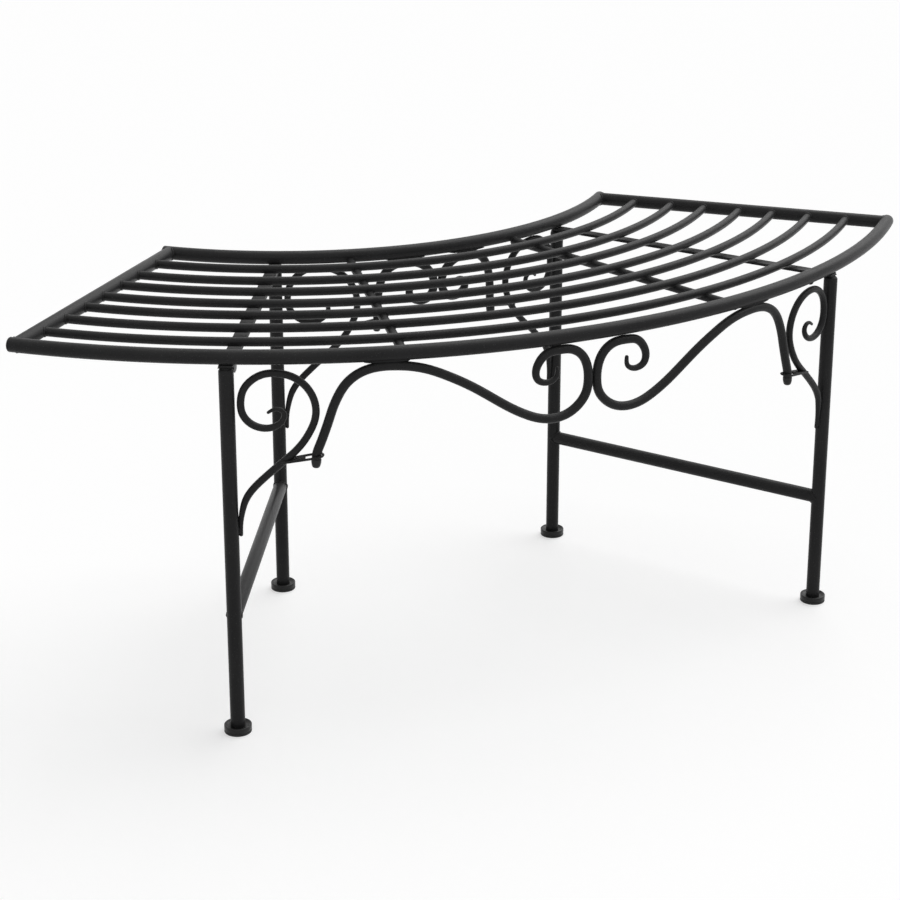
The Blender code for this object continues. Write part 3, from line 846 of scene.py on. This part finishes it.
def make_rims():
    """The two bent tubes at the seat's edges, with a domed plug in each open end."""
    neck = rim_radius * plug_neck_share
    edge = [(rim_radius + a, gap + plug_head - plug_crown + b) for a, b in quarter_round(plug_edge)]
    crown = [((rim_radius - plug_edge) * share, gap + plug_head - plug_crown * share ** 2)
             for share in plug_crown_shares]
    profile = [(neck, -gap), (neck, gap), (rim_radius - gap, gap), (rim_radius, gap * 2)]
    for name, radius in (("outer", outer_rim_radius), ("inner", inner_rim_radius)):
        half_angle = seat_half_angle + rim_tail / radius
        bent_bar(name + "_rim", "_tube", radius, half_angle, rim_radius, tube_sides)
        for side, sign in sides.items():
            end = ray_point(radius, sign * half_angle, rim_height)
            mesh = turned(end, rightward(end) * sign, profile + edge + crown)
            plug = "%s_rim_plug_%s" % (name, side)
            hand_over(plug + "_moulding", mesh, "plastic", (plug,))


def make_end_tube(side, sign, slat_radii):
    """One end tube; returns the beads at its ends and those at the slats' ends on it."""
    inner_end, outer_end, *joints = (
        ray_point(radius, sign * seat_half_angle, rim_height)
        for radius in [inner_rim_radius, outer_rim_radius] + slat_radii)
    out = outward(outer_end)
    reach = out * (rim_radius - cope_depth)
    straight_bar("end_tube_" + side, "_tube", [inner_end + reach, outer_end - reach],
                 rim_radius, tube_sides)
    own = [saddle(end, way, rightward(end), rim_radius, rim_radius)
           for end, way in ((inner_end, out), (outer_end, -out))]
    return own, [saddle(joint, rightward(joint) * -sign, out, slat_radius, rim_radius)
                 for joint in joints]


def make_cross_rod(side, sign, slat_radii):
    """One cross rod; returns the beads at its ends and round the slats in its notches."""
    angle = sign * cross_rod_angle
    stop = apron_radius + gap
    ends = [ray_point(radius, angle, cross_rod_height)
            for radius in (inner_rim_radius + stop, outer_rim_radius - stop)]
    straight_bar("cross_rod_" + side, "_rod", ends, cross_rod_radius, rod_sides)
    beads = []
    for radius, inwards in ((inner_rim_radius, 1), (outer_rim_radius, -1)):
        joint = ray_point(radius, angle, rim_height)
        beads.append(saddle(joint, outward(joint) * inwards, rightward(joint), cross_rod_radius,
                            rim_radius, cross_rod_height - rim_height, cross_rod_bead_turns))
    for radius in slat_radii:
        centre = ray_point(radius, angle, rim_height)
        beads.append(notch_line(centre, rightward(centre), outward(centre)))
    return beads


def make_seat():
    """The end tubes, the slats between them and the notched cross rods below."""
    slat_radii = [inner_rim_radius + share * (outer_rim_radius - inner_rim_radius)
                  for share in slat_place_shares]
    end_tube_welds, slat_welds, cross_rod_welds = [], [], []
    for side, sign in sides.items():
        own, on_slats = make_end_tube(side, sign, slat_radii)
        end_tube_welds += own
        slat_welds += on_slats
    for number, radius in enumerate(slat_radii, start=1):
        half_angle = seat_half_angle - (rim_radius - butt_depth) / radius
        bent_bar("slat_%d" % number, "_rod", radius, half_angle, slat_radius, rod_sides)
    for side, sign in sides.items():
        cross_rod_welds += make_cross_rod(side, sign, slat_radii)
    lay_welds("end_tube_welds", end_tube_welds)
    lay_welds("slat_welds", slat_welds)
    lay_welds("cross_rod_welds", cross_rod_welds)


# ---- Leg frames ----

def foot_profile():
    """A foot from its sole up: a grooved side, a rim, a dish and the leg's socket."""
    socket = leg_radius + gap
    lower = [(foot_radius + a, -b) for a, b in quarter_round(foot_lower_edge)[::-1]]
    groove = [(foot_radius - foot_groove_depth * deep,
               foot_groove_height + foot_groove_half_width * rise)
              for deep, rise in foot_groove_shares]
    shoulder = [(foot_radius + a, foot_height + b) for a, b in quarter_round(foot_upper_edge)]
    rim_inside = foot_radius - foot_rim_width
    lip = [(rim_inside - a, foot_height + b) for a, b in quarter_round(foot_inner_edge)[::-1]]
    lip_height = foot_height - foot_inner_edge
    fall = foot_recess_depth - foot_inner_edge
    dish = [(rim_inside - foot_recess_slope * share,
             lip_height - fall * math.sin(math.pi / 2 * share))
            for share in steps_to(1, dish_steps)[1:]]
    hollow = [(socket, foot_height - foot_recess_depth), (socket, foot_sole),
              (socket * turned_stop_share, foot_sole)]
    return [(foot_radius * turned_stop_share, 0)] + lower + groove + shoulder + lip + dish + hollow


def make_leg(row, side, centre):
    """A leg tube, closed and rounded at its top, and the foot that it stands in."""
    bottom = foot_sole + gap
    shoulder = [(leg_radius + a, leg_top + b)
                for a, b in quarter_round(leg_shoulder, shoulder_steps)]
    profile = [(leg_radius / 2, bottom), (leg_radius, bottom)] + shoulder
    leg, foot = "%s_leg_%s" % (row, side), "%s_foot_%s" % (row, side)
    hand_over(leg + "_tube", turned(centre, up, profile), "tube", (leg,))
    hand_over(foot + "_moulding", turned(centre, up, foot_profile()), "plastic", (foot,))


def make_lug(side, corner, out, to_middle):
    """The lug under the bar, near the outer leg; returns its weld."""
    edge = [(lug_corner + a, lug_corner + b) for a, b in quarter_round(lug_corner)]
    inner_edge = [(lug_length - lug_corner + a, lug_drop - lug_corner + b) for a, b in edge]
    outer_edge = [(lug_corner - a, lug_drop - lug_corner + b) for a, b in edge[::-1]]
    points = [corner - out * across - up * down
              for across, down in [(0, 0), (lug_length, 0)] + inner_edge + outer_edge]
    mesh = plate(points, -to_middle * lug_thickness)
    hand_over("frame_lug_%s_flat" % side, mesh, "bar", ("frame_lug_" + side,), lug_edge)
    middle = corner - out * (lug_length / 2) - up * (gap / 2)
    return tack(middle, out, lug_length * lug_weld_share, bead_radius)


def make_leg_frame(side, sign):
    """Two legs, the stretcher between them and the flat bar with its lug on top."""
    outer_foot = ray_point(outer_rim_radius, sign * outer_leg_angle, 0)
    inner_foot = ray_point(inner_rim_radius, sign * inner_leg_angle, 0)
    make_leg("outer", side, outer_foot)
    make_leg("inner", side, inner_foot)
    out = (outer_foot - inner_foot).normalized()
    to_middle = out.cross(up) * sign
    inner_joint, outer_joint = (foot + up * stretcher_height for foot in (inner_foot, outer_foot))
    reach = out * (leg_radius - cope_depth)
    straight_bar("stretcher_" + side, "_tube", [inner_joint + reach, outer_joint - reach],
                 stretcher_radius, tube_sides)
    half_width = to_middle * (frame_bar_width / 2)
    bar_start = inner_foot - out * frame_bar_overhang + up * frame_bar_underside
    bar_end = outer_foot + out * frame_bar_overhang + up * frame_bar_underside
    outline = (bar_start - half_width, bar_start + half_width, bar_end + half_width,
               bar_end - half_width)
    mesh = plate(outline, up * frame_bar_thickness)
    hand_over("frame_bar_%s_flat" % side, mesh, "bar", ("frame_bar_" + side,), frame_bar_edge)
    lug_place = outer_foot - out * lug_setback + half_width - to_middle * lug_inset + up * leg_top
    lug_weld = make_lug(side, lug_place, out, to_middle)
    ring_radius = leg_radius - leg_shoulder + leg_ring_inset
    welds = []
    for foot in (inner_foot, outer_foot):
        top = foot + up * (leg_top - gap)
        ring = [top + ring_radius * (math.cos(a) * out + math.sin(a) * to_middle)
                for a in full_circle(saddle_steps)]
        welds.append((ring, [small_bead_radius] * len(ring), True))
    for joint, way in ((inner_joint, out), (outer_joint, -out)):
        welds.append(saddle(joint, way, up, stretcher_radius, leg_radius))
    lay_welds("leg_frame_welds_" + side, welds + [lug_weld])


# ---- Scrolls ----

def bracket_line(row, sign):
    """A bracket's centre line and radii, from the tail beside the leg towards the middle."""
    radius, reach, height = row["radius"], row["reach"], row["height"]
    contact = math.sqrt((leg_radius + gap + bracket_tail_radius) ** 2 - bracket_tail_inset ** 2)
    top = rim_underside - row["head_gap"] - bracket_radius
    outline = [(contact + a * (reach - contact), top - height + b * height)
               for a, b in bracket_outline_shares]
    points, places = draw_scroll(outline, bracket_tail_radius, bracket_tip_radius)
    line = []
    for out, rise in points:
        inset = bracket_tail_inset * max(0, 1 - (rise - top + height) / bracket_tail_swing_run)
        along = sign * (radius * row["leg_angle"] - out) * (radius - inset) / radius
        line.append(arc_point(radius - inset, along, rise))
    shares = [place / places[-1] for place in places]
    radii = tapered(shares, bracket_radius, bracket_tip_radius, bracket_tip_run_share)
    grown = [min(1, share / bracket_tail_run_share) for share in shares]
    radii = [bracket_tail_radius + (full - bracket_tail_radius) * share
             for full, share in zip(radii, grown)]
    return line, domed(places, radii)


def on_the_way_up(line, share):
    """The point of a bracket's line at this share of the way from its tail up to its top."""
    height = line[0].z + share * (max(point.z for point in line) - line[0].z)
    for before, after in zip(line, line[1:]):
        if after.z >= height:
            return before.lerp(after, (height - before.z) / (after.z - before.z))


def eyelet_centre(radius, sign, seat, reach):
    """How far from the middle and how high an apron's axis passes through its eyelet."""
    along = radius * math.atan2(sign * seat.x, arc_centre_y - seat.y)
    return along - reach * math.cos(eyelet_tilt), seat.z + reach * math.sin(eyelet_tilt)


def apron_line(row, sign, half_span, end_height):
    """An apron's centre line and radii, a little outside its rim except low down."""
    radius = row["radius"]
    contact = apron_radius + gap / 2
    top = rim_height - math.sqrt((rim_radius + gap + apron_radius) ** 2 - apron_offset ** 2)
    drop = top - end_height
    outline = [(contact + a * (half_span - contact), top - b * drop)
               for a, b in row["apron_outline_shares"]]
    run = peg_run + gap * 2
    end = (half_span + run * math.sin(apron_end_lean), end_height - run * math.cos(apron_end_lean))
    points, places = draw_scroll([end] + outline, apron_radius * scroll_start_share,
                                 apron_tip_radius)
    line = []
    for out, rise in points:
        offset = apron_offset * min(1, max(0, half_span - out) / apron_swing_run)
        line.append(arc_point(radius + offset, sign * out * (radius + offset) / radius, rise))
    shares = [place / places[-1] for place in places]
    radii = tapered(shares, apron_radius, apron_tip_radius, apron_tip_run_share)
    half = len(places) // 2
    return line, radii[:half] + domed(places, radii)[half:]


def dome_wire(line):
    """A wire's line with close-set points at both ends, and the radii that round them."""
    shares = [1 - math.sin(a) for a in steps_to(math.pi / 2, wire_dome_steps)]
    start, finish = (
        [end.lerp(inner, wire_radius * share / (inner - end).length) for share in shares]
        for end, inner in ((line[0], line[1]), (line[-1], line[-2])))
    radii = [dome_radius(wire_radius, share) for share in shares]
    return (start[::-1] + line[1:-1] + finish,
            radii[::-1] + [wire_radius] * (len(line) - 2) + radii)


def make_eyelet(node, centre, seat):
    """A wire bent round the apron's axis; returns its tacks and its fill of weld."""
    arm = (seat - centre).normalized()
    radial = (outward(seat) - arm * arm.dot(outward(seat))).normalized()
    turn_radius = apron_radius + eyelet_clearance + wire_radius
    bend = [centre + turn_radius * (math.cos(a) * radial - math.sin(a) * arm)
            for a in steps_to(math.pi, wire_bend_steps)]
    beside = radial * (bracket_radius + wire_radius)
    tip = seat + arm * eyelet_overlap
    line, radii = dome_wire([tip + beside] + bend + [tip - beside])
    drawn_bar(node, "_wire", line, radii, wire_sides)
    welds = [tack(seat + beside * way, arm, wire_tack_run, wire_tack_radius) for way in (1, -1)]
    web_end = seat - arm * bracket_radius
    web_start = web_end - arm * ((web_end - centre).length * web_run_share)
    half_width = bracket_radius + wire_radius - web_bead_radius
    for i in range(web_beads):
        across = radial * (half_width * (2 * i / (web_beads - 1) - 1))
        line = [(web_start + across).lerp(web_end + across, share)
                for share in steps_to(1, web_steps)]
        welds.append((line, [web_bead_radius] * len(line), False))
    return welds


def make_cap(node, end, axis):
    """The bullet-shaped cap that closes an apron's peg."""
    bore = peg_radius + gap
    lip = [(cap_radius - cap_lip + cap_lip * math.sin(a), cap_lip - cap_lip * math.cos(a))
           for a in steps_to(math.pi / 2, lip_steps)]
    nose = [(cap_radius * wide, cap_length * along) for wide, along in cap_nose_shares]
    profile = [(bore, peg_length * cap_bore_share), (bore, 0)] + lip + nose
    mesh = turned(end - axis * (peg_length - gap), axis, profile)
    hand_over(node + "_moulding", mesh, "plastic", (node,))


def crest_welds(crest):
    """The two beads that fill the grooves between an apron's crest and its rim."""
    out = outward(crest)
    apart = rim_radius + apron_radius + gap
    lean = math.atan2(apron_offset, math.sqrt(apart ** 2 - apron_offset ** 2))
    to_rim = up * math.cos(lean) - out * math.sin(lean)
    groove = crest + to_rim * (apron_radius + gap / 2)
    beside = out * math.cos(lean) + up * math.sin(lean)
    return [tack(groove + beside * crest_weld_radius * way, rightward(crest), crest_weld_run,
                 crest_weld_radius) for way in (1, -1)]


def make_scrolls(side, sign):
    """On one side: the brackets, the aprons, and the eyelets and caps between them."""
    welds = []
    for row in scroll_rows:
        radius = row["radius"]
        line, radii = bracket_line(row, sign)
        drawn_bar("%s_%s" % (row["bracket"], side), "_scroll", line, radii, rod_sides)
        tail = on_the_way_up(line, tail_tack_share)
        to_leg = (ray_point(radius, sign * row["leg_angle"], tail.z) - tail).normalized()
        groove = tail + to_leg * (bracket_tail_radius * tail_tack_depth_share)
        beside = up.cross(to_leg) * (bracket_tail_radius * tail_tack_side_share)
        welds += [tack(groove + beside * way, up) for way in (1, -1)]
        seat = on_the_way_up(line, row["eyelet_place_share"])
        half_span, end_height = eyelet_centre(radius, sign, seat, row["eyelet_reach"])
        centre = arc_point(radius, sign * half_span, end_height)
        welds += make_eyelet("%s_%s" % (row["eyelet"], side), centre, seat)
        line, radii = apron_line(row, sign, half_span, end_height)
        drawn_bar("%s_%s" % (row["apron"], side), "_scroll", line, radii, rod_sides)
        axis = (line[0] - line[tip_steps]).normalized()
        peg_end = line[0] + axis * (peg_length - gap)
        make_cap("%s_cap_%s" % (row["apron"], side), peg_end, axis)
        welds += crest_welds(max(line, key=lambda point: point.z))
    lay_welds("scroll_welds_" + side, welds)


# ---- Stage ----

def hang_lamp(data, place, target):
    """A lamp at a place, turned to its target."""
    lamp = place_object(data.name, data)
    lamp.location = place
    lamp.rotation_euler = (Vector(target) - Vector(place)).to_track_quat("-Z", "Y").to_euler()


def set_camera():
    """The camera that the photograph's view is taken from."""
    data = bpy.data.cameras.new("camera")
    data.sensor_width = camera_sensor
    data.lens = camera_lens
    data.shift_y = camera_shift
    camera = place_object("camera", data)
    camera.location = camera_place
    camera.rotation_euler = (math.pi / 2 - camera_pitch, 0, camera_yaw)
    bpy.context.scene.camera = camera


def seen_directly(tree):
    """A mask: 1 for rays from the eye, a reflection or a glass, and 0 for all others."""
    rays = add(tree, "ShaderNodeLightPath", {}).outputs
    mirrored = maths(tree, "MAXIMUM", rays["Is Glossy Ray"], rays["Is Transmission Ray"])
    return maths(tree, "MAXIMUM", rays["Is Camera Ray"], mirrored)


def lay_floor():
    """A pale floor that reads white where it is lit and keeps the bench's shadow."""
    mesh = bmesh.new()
    bmesh.ops.create_grid(mesh, x_segments=1, y_segments=1, size=floor_size / 2)
    data = bpy.data.meshes.new("floor")
    mesh.to_mesh(data)
    mesh.free()
    floor = place_object("floor", data)
    material, tree, shader = new_material("floor_paper")
    feed(tree, shader, {
        "Base Color": floor_colour, "Roughness": floor_roughness, "Specular IOR Level": 0.0,
        "Emission Color": white, "Emission Strength": times(tree, seen_directly(tree), floor_glow)})
    data.materials.append(material)


def light_room():
    """White walls to the eye, a soft fill, the light from the ceiling and one softbox."""
    world = bpy.data.worlds.new("room")
    bpy.context.scene.world = world
    world.use_nodes = True
    tree = world.node_tree
    strength = maths(tree, "MAXIMUM", seen_directly(tree), world_fill)
    feed(tree, tree.nodes["Background"].inputs, {"Color": white, "Strength": strength})
    ceiling = bpy.data.lights.new("white_ceiling", "SUN")
    ceiling.angle = ceiling_spread
    ceiling.energy = ceiling_strength
    hang_lamp(ceiling, ceiling_from, (0, 0, 0))
    softbox = bpy.data.lights.new("softbox", "AREA")
    softbox.shape = "RECTANGLE"
    softbox.size, softbox.size_y = softbox_size
    softbox.energy = softbox_power
    hang_lamp(softbox, softbox_place, softbox_target)
    bpy.context.scene.view_settings.view_transform = "Standard"


make_rims()
make_seat()
for side, sign in sides.items():
    make_leg_frame(side, sign)
    make_scrolls(side, sign)
set_camera()
lay_floor()
light_room()
